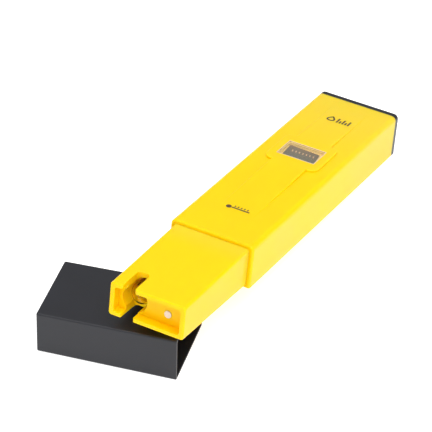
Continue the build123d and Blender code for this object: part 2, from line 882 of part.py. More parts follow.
# ---------------------------------------------------------------- protective cap
def make_protective_cap():
    """The loose black cap, in its own frame, lying flat with its mouth at x = cap_length."""
    middle = cap_height / 2
    closed = (cap_half_width - cap_taper_side, cap_taper_face, cap_height - cap_taper_face)
    mouth = (cap_half_width, 0, cap_height)
    shell = tapered_block(0, cap_length, closed, mouth, cap_edge_radius)
    shell = fillet(shell.faces().sort_by(Axis.X)[0].edges(), cap_end_radius)
    depth_share = 1 - cap_end_wall / cap_length
    floor_half = cap_inner_half_width - cap_taper_side * depth_share
    floor_reach = cap_inner_half_height - cap_taper_face * depth_share
    floor = (floor_half, middle - floor_reach, middle + floor_reach)
    opening = (cap_inner_half_width, middle - cap_inner_half_height, middle + cap_inner_half_height)
    shell -= tapered_block(cap_end_wall, cap_length, floor, opening, cap_inner_corner)
    shell = chamfer(shell.faces().sort_by(Axis.X)[-1].edges(), cap_mouth_break)
    # The draft would leave the closed end clear of the table, so the cap is tipped flat.
    tip = math.degrees(math.atan2(cap_taper_face, cap_length))
    return Rot(0, -tip, 0) * Pos(0, 0, -cap_taper_face) * shell


# ---------------------------------------------------------------- resting place
def cap_seat():
    """The cap's place on the table, measured from the meter's far lower edge."""
    yaw = Rot(0, 0, cap_yaw)
    mouth = (yaw * Pos(cap_length, 0, 0)).position
    return Pos(-length + cap_mouth_from_nose - mouth.X, cap_mouth_across - mouth.Y, 0) * yaw


def meter_pitch():
    """The nose-up angle at which the guard's back face meets the cap's nearest top corner."""
    corner = (cap_seat() * Pos(cap_length, cap_half_width, cap_height)).position
    slope = (guard_nose_back - guard_step_back) / guard_length
    start = guard_step_back + half_thickness - slope * (length - guard_length)
    pitch = 0.0
    for _ in range(6):
        lift = back_edge_radius * (math.sin(pitch) + math.cos(pitch) - 1)
        reach = math.hypot(corner.X, corner.Z + lift)
        a = 1 + slope * slope
        b = 2 * slope * start
        c = start * start - reach * reach
        along = (-b + math.sqrt(b * b - 4 * a * c)) / (2 * a)
        pitch = math.atan2(corner.Z + lift, -corner.X) - math.atan2(start + slope * along, along)
    return pitch, lift


def resting_places():
    """Locations that carry the meter frame and the cap frame to where the two lie."""
    pitch, lift = meter_pitch()
    meter = Pos(0, 0, -lift) * Rot(0, math.degrees(pitch), 0) * Pos(-length, 0, half_thickness)
    return meter, cap_seat()


def make_meter():
    """Every piece of the meter, by name, in the meter frame."""
    pieces = {
        "housing": make_housing(),
        "display_window": make_display_window(),
        "electrode_guard": make_electrode_guard(),
        "glass_stem": make_glass_stem(),
        "glass_bulb": make_glass_bulb(),
        "stem_seal": make_stem_seal(),
        "stem_stopper": make_stem_stopper(),
        "inner_electrode": make_inner_electrode(),
        "reference_junction": make_reference_junction(),
        "reference_chamber": make_reference_chamber(),
        "reference_plug": make_reference_plug(),
        "reference_wire": make_reference_wire(),
        "temperature_sensor": make_temperature_sensor(),
        "potting_block": make_potting_block(),
        "electrode_lead": make_electrode_lead(),
        "reference_lead": make_reference_lead(),
        "sensor_lead": make_sensor_lead(),
        "display_panel": make_display_panel(),
        "display_frame": make_display_frame(),
        "connector_strip_near": make_connector_strip(-1),
        "connector_strip_far": make_connector_strip(1),
        "main_board": make_main_board(),
        "controller_chip": make_controller_chip(),
        "amplifier_chip": make_amplifier_chip(),
        "board_components": make_board_components(),
        "trimmer_body": make_trimmer_body(),
        "trimmer_screw": make_trimmer_screw(),
        "board_contacts": make_board_contacts(),
        "battery_drawer": make_battery_drawer(),
        "battery_plate": make_terminal(1),
        "battery_spring": make_terminal(-1),
        "switch_board": make_switch_board(),
        "power_switch": make_power_switch(),
        "switch_plunger": make_switch_plunger(),
        "power_button": make_power_button(),
    }
    for index in range(cell_count):
        pieces[f"button_cell_{index + 1}"] = make_cell(index)
    return pieces


def own_frame(placed):
    """The location that stands the placed pieces on z = 0 about the middle of their box."""
    boxes = [piece.bounding_box() for piece in placed.values()]
    low = [min(getattr(box.min, axis) for box in boxes) for axis in "XYZ"]
    high = [max(getattr(box.max, axis) for box in boxes) for axis in "XYZ"]
    return Pos(-(low[0] + high[0]) / 2, -(low[1] + high[1]) / 2, -low[2])


def main():
    """Build every piece, place it as it lies on the table, and write it."""
    meter_place, cap_place = resting_places()
    placed = {name: meter_place * piece for name, piece in make_meter().items()}
    placed["protective_cap"] = cap_place * make_protective_cap()
    middle = own_frame(placed)
    os.makedirs("parts", exist_ok=True)
    for name, piece in placed.items():
        export_step(middle * piece, f"parts/{name}.step")


main()
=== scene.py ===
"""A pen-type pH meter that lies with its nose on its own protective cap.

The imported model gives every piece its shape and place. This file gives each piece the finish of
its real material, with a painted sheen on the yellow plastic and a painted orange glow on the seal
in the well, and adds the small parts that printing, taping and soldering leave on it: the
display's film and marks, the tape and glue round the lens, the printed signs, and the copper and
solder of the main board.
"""

import json
import logging
import math
from dataclasses import dataclass, replace
from enum import Enum
from typing import Callable, ClassVar

import bmesh
import bpy
from mathutils import Matrix, Vector


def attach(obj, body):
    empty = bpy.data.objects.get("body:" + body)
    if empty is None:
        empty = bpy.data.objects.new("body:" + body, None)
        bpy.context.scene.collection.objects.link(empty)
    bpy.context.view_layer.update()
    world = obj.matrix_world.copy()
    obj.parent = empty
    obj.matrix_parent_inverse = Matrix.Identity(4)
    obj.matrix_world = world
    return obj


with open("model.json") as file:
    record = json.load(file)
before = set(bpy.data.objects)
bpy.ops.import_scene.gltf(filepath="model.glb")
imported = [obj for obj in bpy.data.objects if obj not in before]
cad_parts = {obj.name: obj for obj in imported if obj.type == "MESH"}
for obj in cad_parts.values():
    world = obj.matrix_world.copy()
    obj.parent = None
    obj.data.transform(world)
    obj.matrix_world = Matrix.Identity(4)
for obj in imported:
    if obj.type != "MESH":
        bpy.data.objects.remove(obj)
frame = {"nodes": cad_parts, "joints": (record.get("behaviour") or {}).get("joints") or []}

log = logging.getLogger("ph_meter")

MM = 0.001  # one millimetre, in metres
WELD_MM = 0.0005  # points nearer than this are one point
SHARP_DEGREES = 40.0  # edges that turn more than this get a bevel
WHITE = "#FFFFFF"


class Body(Enum):
    """The rigid bodies that the added pieces ride on."""

    METER = "meter"


class Slot(Enum):
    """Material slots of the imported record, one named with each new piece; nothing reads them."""

    DISPLAY_GLASS = "display_glass"
    COMPONENTS = "component_body"
    STEEL = "steel"
    BOARD = "board"


# ---------------------------------------------------------------- shared helpers
def linear(hex_colour: str) -> tuple[float, float, float, float]:
    """Turns an sRGB hex colour into the linear colour that shaders take.

    Args:
        hex_colour: six hex digits after a hash.

    Returns:
        Linear red, green, blue and an alpha of one.
    """
    channels = [int(hex_colour[i : i + 2], 16) / 255 for i in (1, 3, 5)]
    red, green, blue = (
        c / 12.92 if c <= 0.04045 else ((c + 0.055) / 1.055) ** 2.4 for c in channels
    )
    return red, green, blue, 1.0


def add_node(tree: bpy.types.NodeTree, kind: str, settings: dict[str, object],
             links: dict[str, bpy.types.NodeSocket] | None = None) -> bpy.types.Node:
    """Adds one shader node with its settings and its incoming links.

    Args:
        tree: the node tree that takes the node.
        kind: the node's Blender type name.
        settings: values by socket name, or by property name where no socket has it.
        links: output sockets by the name of the input that they feed.

    Returns:
        The new node.
    """
    node = tree.nodes.new(kind)
    properties = {name: value for name, value in settings.items() if hasattr(node, name)}
    for name, value in properties.items():
        setattr(node, name, value)
    sockets = {s.identifier: s for s in node.inputs}
    sockets |= {s.name: s for s in node.inputs if s.enabled}
    for name, value in settings.items():
        if name not in properties:
            sockets[name].default_value = value
    for name, source in (links or {}).items():
        tree.links.new(source, sockets[name])
    return node


def given(node: bpy.types.Node) -> bpy.types.NodeSocket:
    """The one output that a node gives in its present mode."""
    return next(socket for socket in node.outputs if socket.enabled)


def grain_scale(size_mm: float) -> float:
    """The texture scale whose features are about size_mm across on Object coordinates."""
    return 1 / (size_mm * MM)


def put_in_scene(name: str, data: bpy.types.ID) -> bpy.types.Object:
    """Makes an object of a mesh, lamp or camera and links it to the scene.

    Args:
        name: the object's name.
        data: what it shows.

    Returns:
        The object.
    """
    holder = bpy.data.objects.new(name, data)
    bpy.context.scene.collection.objects.link(holder)
    return holder


def show_mesh(name: str, mesh: bmesh.types.BMesh, material: bpy.types.Material) -> bpy.types.Object:
    """Turns a finished bmesh into an object of one material.

    Args:
        name: the name of the object and of its mesh.
        mesh: its shape in metres, freed here.
        material: what it is made of.

    Returns:
        The object.
    """
    data = bpy.data.meshes.new(name)
    mesh.to_mesh(data)
    mesh.free()
    data.materials.append(material)
    return put_in_scene(name, data)


def plate(mesh: bmesh.types.BMesh, centre: tuple[float, float, float],
          size: tuple[float, float, float], turn: float = 0.0) -> None:
    """Adds a small block, with its sizes along x, y and z.

    Args:
        mesh: the mesh that takes it.
        centre: its middle.
        size: its three sizes.
        turn: degrees that it is turned about z.
    """
    matrix = (Matrix.Translation(centre) @ Matrix.Rotation(math.radians(turn), 4, "Z")
              @ Matrix.Diagonal((*size, 1.0)))
    bmesh.ops.create_cube(mesh, size=1.0, matrix=matrix)


def flat_sheet(mesh: bmesh.types.BMesh, centre: tuple[float, float, float],
               size: tuple[float, float]) -> bmesh.types.BMFace:
    """Adds one flat rectangle.

    Args:
        mesh: the mesh that takes it.
        centre: its middle.
        size: its sizes along x and y.

    Returns:
        Its face.
    """
    matrix = Matrix.Translation(centre) @ Matrix.Diagonal((*size, 1, 1))
    made = bmesh.ops.create_grid(mesh, x_segments=1, y_segments=1, size=0.5, matrix=matrix)
    return made["verts"][0].link_faces[0]


def raise_faces(mesh: bmesh.types.BMesh,
                faces: list[bmesh.types.BMFace]) -> list[bmesh.types.BMVert]:
    """Extrudes faces as one region, without moving them yet.

    Args:
        mesh: the mesh that holds them.
        faces: the faces to extrude.

    Returns:
        The new points, still on the old ones.
    """
    raised = bmesh.ops.extrude_face_region(mesh, geom=faces)
    return [item for item in raised["geom"] if isinstance(item, bmesh.types.BMVert)]


def soften(mesh: bmesh.types.BMesh, width: float) -> None:
    """Breaks every sharp edge of the mesh with one facet.

    Args:
        mesh: the mesh to soften.
        width: the facet's width.
    """
    limit = math.radians(SHARP_DEGREES)
    sharp = [edge for edge in mesh.edges if edge.calc_face_angle(0.0) > limit]
    bmesh.ops.bevel(mesh, geom=sharp, offset=width, offset_type="OFFSET", segments=1, profile=0.5,
                    affect="EDGES", material=-1)


# ---------------------------------------------------------------- finishes
@dataclass(frozen=True)
class Finish:
    """What each finish says of itself: its name, its colour and how it takes light."""

    name: str
    colour: str
    roughness: float
    ior: float = 1.5
    metallic: float = 0.0

    def build(self) -> bpy.types.Material:
        """Makes the material, with its pattern.

        Returns:
            The new material.
        """
        material = bpy.data.materials.new(self.name)
        material.use_nodes = True
        tree = material.node_tree
        tree.nodes.clear()
        shader = add_node(tree, "ShaderNodeBsdfPrincipled", {
            "Base Color": linear(self.colour),
            "Roughness": self.roughness,
            "IOR": self.ior,
            "Metallic": self.metallic,
        })
        place = add_node(tree, "ShaderNodeTexCoord", {}).outputs["Object"]
        surface = self.dress(tree, shader, place)
        add_node(tree, "ShaderNodeOutputMaterial", {}, {"Surface": surface})
        return material

    def dress(self, tree: bpy.types.NodeTree, shader: bpy.types.Node,
              place: bpy.types.NodeSocket) -> bpy.types.NodeSocket:
        """Adds the finish's own pattern; a finish without one is the bare shader.

        Args:
            tree: the material's node tree.
            shader: its Principled node.
            place: the Object coordinates.

        Returns:
            The socket that goes to the material output.
        """
        return shader.outputs["BSDF"]

    def bump(self, tree: bpy.types.NodeTree, shader: bpy.types.Node,
             height: bpy.types.NodeSocket, depth_mm: float) -> None:
        """Feeds a height pattern to the shader's normal.

        Args:
            tree: the material's node tree.
            shader: its Principled node.
            height: the socket that gives the height, from 0 to 1.
            depth_mm: how deep the full height is.
        """
        node = add_node(tree, "ShaderNodeBump", {"Distance": depth_mm * MM, "Strength": 1.0},
                        {"Height": height})
        tree.links.new(node.outputs["Normal"], shader.inputs["Normal"])

    def two_tones(self, tree: bpy.types.NodeTree, shader: bpy.types.Node,
                  share: bpy.types.NodeSocket, other: str) -> None:
        """Blends the base colour towards another by a share from 0 to 1.

        Args:
            tree: the material's node tree.
            shader: its Principled node.
            share: the socket that gives the other colour's share.
            other: the other colour, as sRGB hex.
        """
        mix = add_node(tree, "ShaderNodeMix", {
            "data_type": "RGBA", "A_Color": linear(self.colour), "B_Color": linear(other),
        }, {"Factor_Float": share})
        tree.links.new(given(mix), shader.inputs["Base Color"])


@dataclass(frozen=True)
class PaintedSheen:
    """Painted sheen: a paler, greyer tint that stands in for the soft reflection of a lamp on the
    plastic, and comes in along x between two places.

    The eye gets a yellow that turns slowly duller and greyer, with a wavering border.
    """

    from_mm: float
    to_mm: float
    colour: str = "#DDC03A"
    share: float = 0.75
    waver_mm: float = 20.0

    def lay_sheen(self, tree: bpy.types.NodeTree, shader: bpy.types.Node,
             place: bpy.types.NodeSocket, flow: bpy.types.NodeSocket) -> None:
        """Lays the painted sheen over the colour that the shader has so far.

        Args:
            tree: the material's node tree.
            shader: its Principled node.
            place: the Object coordinates.
            flow: the slow noise that makes the border waver.
        """
        axes = add_node(tree, "ShaderNodeSeparateXYZ", {}, {"Vector": place})
        drift = add_node(tree, "ShaderNodeMath", {
            "operation": "MULTIPLY_ADD", "Value_001": self.waver_mm * MM,
        }, {"Value": flow, "Value_002": axes.outputs["X"]})
        amount = add_node(tree, "ShaderNodeMapRange", {
            "interpolation_type": "SMOOTHSTEP", "From Min": self.from_mm * MM,
            "From Max": self.to_mm * MM, "To Max": self.share,
        }, {"Value": drift.outputs["Value"]})
        skin_colour = shader.inputs["Base Color"].links[0].from_socket
        sheened_colour = add_node(tree, "ShaderNodeMix", {
            "data_type": "RGBA", "B_Color": linear(self.colour),
        }, {"Factor_Float": amount.outputs["Result"], "A_Color": skin_colour})
        tree.links.new(given(sheened_colour), shader.inputs["Base Color"])


@dataclass(frozen=True)
class MouldedPlastic(Finish):
    """Injection-moulded plastic: a steady colour that drifts a little, over a fine spark texture.

    The eye gets an even skin with soft highlights, a faint cloudiness where the melt flowed, and a
    dull bloom of uneven gloss that breaks the reflections up; where a painted sheen is given, a
    paler, greyer band of painted reflection lies over the colour. A mould's spark texture is finer
    than
    skin_mm: it is drawn that coarse so that it shows at all.
    """

    flow_colour: str = "#FFE000"
    flow_mm: float = 26.0
    flow_levels: tuple[float, float] = (0.35, 0.7)
    skin_mm: float = 0.45
    skin_depth_mm: float = 0.004
    gloss_levels: tuple[float, float] = (0.3, 0.7)
    roughness_spread: float = 0.05
    specular: float = 0.5
    translucence: float = 0.0
    light_reach: tuple[float, float, float] = (4.0, 2.0, 0.2)
    painted_sheen: PaintedSheen | None = None

    def dress(self, tree: bpy.types.NodeTree, shader: bpy.types.Node,
              place: bpy.types.NodeSocket) -> bpy.types.NodeSocket:
        """Adds the flow tint, the painted sheen, the texture of the mould and its uneven gloss.

        Args:
            tree: the material's node tree.
            shader: its Principled node.
            place: the Object coordinates.

        Returns:
            The socket that goes to the material output.
        """
        shader.inputs["Specular IOR Level"].default_value = self.specular
        shader.inputs["Subsurface Weight"].default_value = self.translucence
        shader.inputs["Subsurface Radius"].default_value = self.light_reach
        shader.inputs["Subsurface Scale"].default_value = MM
        flow = add_node(tree, "ShaderNodeTexNoise", {
            "Scale": grain_scale(self.flow_mm), "Detail": 3.0,
        }, {"Vector": place}).outputs["Fac"]
        share = add_node(tree, "ShaderNodeMapRange", {
            "From Min": self.flow_levels[0], "From Max": self.flow_levels[1],
        }, {"Value": flow})
        self.two_tones(tree, shader, share.outputs["Result"], self.flow_colour)
        if self.painted_sheen:
            self.painted_sheen.lay_sheen(tree, shader, place, flow)
        gloss = add_node(tree, "ShaderNodeMapRange", {
            "From Min": self.gloss_levels[0], "From Max": self.gloss_levels[1],
            "To Min": self.roughness - self.roughness_spread,
            "To Max": self.roughness + self.roughness_spread,
        }, {"Value": flow})
        tree.links.new(gloss.outputs["Result"], shader.inputs["Roughness"])
        skin = add_node(tree, "ShaderNodeTexNoise", {
            "Scale": grain_scale(self.skin_mm), "Detail": 2.0, "Roughness": 0.6,
        }, {"Vector": place})
        self.bump(tree, shader, skin.outputs["Fac"], self.skin_depth_mm)
        return shader.outputs["BSDF"]


@dataclass(frozen=True)
class ClearGlass(Finish):
    """A clear solid that bends light and lets the lamps through to what is behind it.

    The eye gets bright rims and a faint tint, and what lies behind stays lit.
    """

    smear_mm: float = 6.0
    smear_levels: tuple[float, float] = (0.45, 0.75)
    smear_roughness: float = 0.02

    def dress(self, tree: bpy.types.NodeTree, shader: bpy.types.Node,
              place: bpy.types.NodeSocket) -> bpy.types.NodeSocket:
        """Makes the shader transmit and adds faint smears to its polish.

        Args:
            tree: the material's node tree.
            shader: its Principled node.
            place: the Object coordinates.

        Returns:
            The socket that goes to the material output.
        """
        shader.inputs["Transmission Weight"].default_value = 1.0
        smear = add_node(tree, "ShaderNodeTexNoise", {
            "Scale": grain_scale(self.smear_mm), "Detail": 2.0,
        }, {"Vector": place})
        gloss = add_node(tree, "ShaderNodeMapRange", {
            "From Min": self.smear_levels[0], "From Max": self.smear_levels[1],
            "To Min": self.roughness, "To Max": self.roughness + self.smear_roughness,
        }, {"Value": smear.outputs["Fac"]})
        tree.links.new(gloss.outputs["Result"], shader.inputs["Roughness"])
        clear = add_node(tree, "ShaderNodeBsdfTransparent", {"Color": linear(self.colour)})
        rays = add_node(tree, "ShaderNodeLightPath", {})
        pane = add_node(tree, "ShaderNodeMixShader", {}, {"Fac": rays.outputs["Is Shadow Ray"]})
        tree.links.new(shader.outputs["BSDF"], pane.inputs[1])
        tree.links.new(clear.outputs["BSDF"], pane.inputs[2])
        return pane.outputs["Shader"]


@dataclass(frozen=True)
class Grained(Finish):
    """Any opaque material with one grain: ceramic pores, rubber bloom, epoxy or glass cloth.

    The eye gets a speckle between two near colours and a slightly uneven surface.
    """

    grain_colour: str = "#808080"
    grain_mm: float = 0.4
    grain_levels: tuple[float, float] = (0.4, 0.65)
    grain_depth_mm: float = 0.005

    def dress(self, tree: bpy.types.NodeTree, shader: bpy.types.Node,
              place: bpy.types.NodeSocket) -> bpy.types.NodeSocket:
        """Adds the speckle and its relief.

        Args:
            tree: the material's node tree.
            shader: its Principled node.
            place: the Object coordinates.

        Returns:
            The socket that goes to the material output.
        """
        grain = add_node(tree, "ShaderNodeTexNoise", {
            "Scale": grain_scale(self.grain_mm), "Detail": 3.0,
        }, {"Vector": place})
        share = add_node(tree, "ShaderNodeMapRange", {
            "From Min": self.grain_levels[0], "From Max": self.grain_levels[1],
        }, {"Value": grain.outputs["Fac"]})
        self.two_tones(tree, shader, share.outputs["Result"], self.grain_colour)
        self.bump(tree, shader, grain.outputs["Fac"], self.grain_depth_mm)
        return shader.outputs["BSDF"]


@dataclass(frozen=True)
class PlatedMetal(Finish):
    """Plated or drawn metal, whose fine draw lines stretch its highlights one way.

    The eye gets a bright surface with faint streaks along the drawing direction. Real draw lines
    are finer than streak_mm: they are drawn that coarse so that they show at all.
    """

    streak_mm: float = 0.35
    streak_depth_mm: float = 0.002
    stretch: float = 12.0
    roughness_range: tuple[float, float] = (0.7, 1.4)

    def dress(self, tree: bpy.types.NodeTree, shader: bpy.types.Node,
              place: bpy.types.NodeSocket) -> bpy.types.NodeSocket:
        """Adds the draw lines as uneven gloss and a shallow relief.

        Args:
            tree: the material's node tree.
            shader: its Principled node.
            place: the Object coordinates.

        Returns:
            The socket that goes to the material output.
        """
        lines = add_node(tree, "ShaderNodeMapping", {"Scale": (1 / self.stretch, 1.0, 1.0)},
                         {"Vector": place})
        streak = add_node(tree, "ShaderNodeTexNoise", {
            "Scale": grain_scale(self.streak_mm), "Detail": 2.0,
        }, {"Vector": lines.outputs["Vector"]})
        gloss = add_node(tree, "ShaderNodeMapRange", {
            "To Min": self.roughness * self.roughness_range[0],
            "To Max": self.roughness * self.roughness_range[1],
        }, {"Value": streak.outputs["Fac"]})
        tree.links.new(gloss.outputs["Result"], shader.inputs["Roughness"])
        self.bump(tree, shader, streak.outputs["Fac"], self.streak_depth_mm)
        return shader.outputs["BSDF"]


@dataclass(frozen=True)
class LiquidCrystal(Finish):
    """The polarising film of a resting liquid-crystal display.

    The eye gets a dull brown-grey sheet that turns greenish towards the nose, with a film gloss.
    """

    far_colour: str = "#6E5E50"
    near_colour: str = "#5F6A5A"
    from_x_mm: float = 0.0
    to_x_mm: float = 1.0
    cloud_mm: float = 2.5
    cloud_levels: tuple[float, float] = (0.4, 0.8)
    cloud_share: float = 0.35

    def dress(self, tree: bpy.types.NodeTree, shader: bpy.types.Node,
              place: bpy.types.NodeSocket) -> bpy.types.NodeSocket:
        """Adds the slow change of tint along the meter and a little cloudiness.

        Args:
            tree: the material's node tree.
            shader: its Principled node.
            place: the Object coordinates.

        Returns:
            The socket that goes to the material output.
        """
        axes = add_node(tree, "ShaderNodeSeparateXYZ", {}, {"Vector": place})
        along = add_node(tree, "ShaderNodeMapRange", {
            "From Min": self.from_x_mm * MM, "From Max": self.to_x_mm * MM,
        }, {"Value": axes.outputs["X"]})
        tint = add_node(tree, "ShaderNodeMix", {
            "data_type": "RGBA", "A_Color": linear(self.near_colour),
            "B_Color": linear(self.far_colour),
        }, {"Factor_Float": along.outputs["Result"]})
        cloud = add_node(tree, "ShaderNodeTexNoise", {
            "Scale": grain_scale(self.cloud_mm), "Detail": 3.0,
        }, {"Vector": place})
        share = add_node(tree, "ShaderNodeMapRange", {
            "From Min": self.cloud_levels[0], "From Max": self.cloud_levels[1],
            "To Max": self.cloud_share,
        }, {"Value": cloud.outputs["Fac"]})
        both = add_node(tree, "ShaderNodeMix", {
            "data_type": "RGBA", "B_Color": linear(self.colour),
        }, {"Factor_Float": share.outputs["Result"], "A_Color": given(tint)})
        tree.links.new(given(both), shader.inputs["Base Color"])
        return shader.outputs["BSDF"]


# Yellow ABS: a strong warm yellow that stays saturated where it faces away from the lamps. Its
# painted sheen pales and greys the yellow between 20 and 95 mm along x, standing in for the soft
# reflection of a lamp.
YELLOW_ABS = MouldedPlastic("yellow_abs", "#F4C200", 0.34, 1.53, flow_colour="#F6C600",
                            specular=0.14, translucence=0.5, painted_sheen=PaintedSheen(20.0, 95.0))
# The guard is the same ABS, with a band of painted sheen by the step: a paler, greyer yellow that
# stands in for the soft reflection of a lamp.
GUARD_ABS = replace(YELLOW_ABS, name="yellow_abs_guard", painted_sheen=PaintedSheen(-32.0, -14.0))
# Black ABS: a blue-black satin that picks up the white table on its upright sides.
BLACK_ABS = MouldedPlastic("black_abs", "#191A20", 0.36, 1.53, flow_colour="#1C1D24", flow_mm=14.0,
                           skin_depth_mm=0.003, specular=0.35)
# The button is the same ABS from a rougher mould, so it looks greyer and duller.
BUTTON_ABS = MouldedPlastic("button_abs", "#3A3B3E", 0.55, 1.53, flow_colour="#424346",
                            skin_depth_mm=0.01)
# Cast acrylic, water clear with a trace of warm grey.
CLEAR_ACRYLIC = ClearGlass("clear_acrylic", "#F1EEEA", 0.02, 1.49)
# Lithium glass of the bulb, blown thin: it bends light far less than solid glass, so its IOR is
# low, and only its rims and a slight smoky tint give it away.
ELECTRODE_GLASS = ClearGlass("electrode_glass", "#FBF6EA", 0.01, 1.14)
# Self-adhesive foam tape, sand coloured and matt, that bonds the lens to its ledge.
LENS_TAPE = Grained("lens_tape", "#F6D888", 0.7, 1.45, grain_colour="#FAE09C", grain_mm=0.3)
# Clear glue that has set slightly pink and catches the light.
GLUE_BEAD = Grained("glue_bead", "#D9B79A", 0.4, 1.45, grain_colour="#E2C4AC", grain_mm=0.8)
# The display's film, dull and brown-grey while the display rests.
DISPLAY_FILM = LiquidCrystal("display_film", "#6E6A5C", 0.3, 1.5)
# The unlit segments, which catch more light than the film round them.
SEGMENT = Grained("display_segment", "#D9B48A", 0.5, 1.5, grain_colour="#E4C29C", grain_mm=0.3)
# Pad-printed brown ink, thin and matt, slightly uneven at its edges.
PRINT_INK = Grained("print_ink", "#4A3522", 0.6, 1.45, grain_colour="#5A432C", grain_mm=0.25,
                    grain_depth_mm=0.003)
# Alumina ceramic of the reference junction, chalky white and porous.
CERAMIC = Grained("porous_ceramic", "#E8DCD0", 0.75, 1.6, grain_colour="#D8C6B8", grain_mm=0.22,
                  grain_depth_mm=0.012)
# The ring at the bottom of the well is silicone, coloured amber as painted glow: it stands in for
# the orange light that the yellow walls bounce and pass into the throat.
SEAL_SILICONE_PAINTED_GLOW = Grained("seal_silicone_painted_glow", "#E8962A", 0.45, 1.42, grain_colour="#EFA43C",
                        grain_mm=0.5)
# Filled silicone rubber of the stopper, plug and connectors, dull dark grey with a fine bloom.
SILICONE = Grained("silicone_rubber", "#2C2C2E", 0.6, 1.42, grain_colour="#38383A", grain_mm=0.5)
# Poured epoxy, brown and glossy, with slow clouds where it set.
EPOXY = Grained("cast_epoxy", "#6B5B3A", 0.25, 1.55, grain_colour="#7D6B45", grain_mm=1.6)
# Natural nylon, milky white and half dull.
WHITE_NYLON = Grained("white_nylon", "#DDDBD3", 0.45, 1.53, grain_colour="#E8E6DE", grain_mm=0.6)
# Drawn PVC jackets of the leads, plain red and slightly waxy.
LEAD_JACKET = Grained("pvc_jacket", "#8A1B1B", 0.4, 1.53, grain_colour="#7C1717", grain_mm=0.8)
# Moulded black nylon, neutral and duller than the black ABS.
BLACK_NYLON = Grained("black_nylon", "#1D1D1E", 0.5, 1.53, grain_colour="#27272A", grain_mm=0.4)
# Display glass seen edge on: a pale green body behind the film.
DISPLAY_GLASS = Grained("display_glass", "#5F6A5C", 0.08, 1.52, grain_colour="#69745F",
                        grain_mm=3.0, grain_depth_mm=0.0005)
# Solder mask over glass cloth, whose weave shows as a faint green speckle.
SOLDER_MASK = Grained("solder_mask", "#0F4A2B", 0.3, 1.55, grain_colour="#155A35", grain_mm=0.5)
# Transfer-moulded chip epoxy, almost black, with a matt blasted surface.
CHIP_EPOXY = Grained("chip_epoxy", "#1B1B1D", 0.6, 1.55, grain_colour="#252527", grain_mm=0.2)
# Fired ceramic of the small components, tan and half matt.
COMPONENT_BODY = Grained("component_ceramic", "#A08259", 0.5, 1.6, grain_colour="#B39468",
                         grain_mm=0.5)
# Nylon of the trimmer's case, the usual strong blue.
TRIMMER_BLUE = Grained("trimmer_nylon", "#1C4FA0", 0.4, 1.53, grain_colour="#245AB0", grain_mm=0.6)
# Drawn silver wire, white and softly bright.
SILVER = PlatedMetal("silver_wire", "#D9D6D0", 0.25, metallic=1.0)
# Nickel-plated spring steel, a slightly yellow grey with soft reflections.
SPRING_STEEL = PlatedMetal("nickel_plated_spring_steel", "#C9C6C0", 0.28, metallic=1.0)
# The same plating on the polished cans of the cells, nearly a mirror.
CELL_STEEL = PlatedMetal("nickel_plated_cell_can", "#D2D0CC", 0.18, metallic=1.0)
# Turned brass, warm and bright.
BRASS = PlatedMetal("turned_brass", "#C9A45A", 0.25, metallic=1.0)
# Copper of the tracks, reddish and a little dulled by handling.
COPPER = PlatedMetal("copper_track", "#B87443", 0.3, metallic=1.0)
# Solder, a neutral grey that shines softly where it flowed.
SOLDER = PlatedMetal("solder", "#BFC0C0", 0.3, metallic=1.0)

NODE_FINISHES: dict[Finish, tuple[str, ...]] = {
    YELLOW_ABS: ("housing",),
    GUARD_ABS: ("electrode_guard",),
    BLACK_ABS: ("protective_cap", "battery_drawer"),
    BUTTON_ABS: ("power_button",),
    CLEAR_ACRYLIC: ("display_window",),
    ELECTRODE_GLASS: ("glass_bulb", "glass_stem"),
    CERAMIC: ("reference_junction",),
    SEAL_SILICONE_PAINTED_GLOW: ("stem_seal",),
    SILICONE: ("stem_stopper", "reference_plug", "connector_strip_near", "connector_strip_far"),
    EPOXY: ("potting_block",),
    WHITE_NYLON: ("reference_chamber", "switch_plunger"),
    LEAD_JACKET: ("electrode_lead", "reference_lead", "sensor_lead"),
    BLACK_NYLON: ("display_frame", "power_switch"),
    DISPLAY_GLASS: ("display_panel",),
    SOLDER_MASK: ("main_board", "switch_board"),
    CHIP_EPOXY: ("controller_chip", "amplifier_chip"),
    COMPONENT_BODY: ("board_components",),
    TRIMMER_BLUE: ("trimmer_body",),
    SILVER: ("inner_electrode", "reference_wire"),
    SPRING_STEEL: ("temperature_sensor", "board_contacts", "battery_plate", "battery_spring"),
    CELL_STEEL: ("button_cell_1", "button_cell_2", "button_cell_3", "button_cell_4"),
    BRASS: ("trimmer_screw",),
}


class Paints:
    """Builds each finish once and hands out its material."""

    def __init__(self) -> None:
        """Starts with no material made."""
        self.made: dict[Finish, bpy.types.Material] = {}

    def of(self, finish: Finish) -> bpy.types.Material:
        """Gives the material of a finish, made the first time it is asked for.

        Args:
            finish: the finish.

        Returns:
            Its material.
        """
        if finish not in self.made:
            self.made[finish] = finish.build()
        return self.made[finish]

    def dress_nodes(self) -> None:
        """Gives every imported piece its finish."""
        for finish, names in NODE_FINISHES.items():
            for name in names:
                for held in frame["nodes"][name].material_slots:
                    held.material = self.of(finish)
                log.info("%s is %s", name, finish.name)


# ---------------------------------------------------------------- the meter's own frame
@dataclass(frozen=True)
class MeterFrame:
    """The frame the meter is drawn in: x from the nose, y across, z out of the display's face.

    The trimmer's joint gives it: its anchor is a known point and its axis points along -z.
    """

    trimmer_from_nose: float = 84.0
    trimmer_screw_height: float = -3.4

    def matrix(self) -> Matrix:
        """Works out how the meter lies.

        Returns:
            The matrix from meter millimetres to metres in the row frame.
        """
        joints = {joint["name"]: joint for joint in frame["joints"]}
        along = Vector(joints["drawer_slide"]["axis"]).normalized()
        up = -Vector(joints["trimmer_turn"]["axis"]).normalized()
        turn = Matrix((along, up.cross(along), up)).transposed()
        known = Vector((self.trimmer_from_nose, 0, self.trimmer_screw_height)) * MM
        nose = Vector(joints["trimmer_turn"]["pos_m"]) - turn @ known
        return Matrix.Translation(nose) @ turn.to_4x4() @ Matrix.Scale(MM, 4)


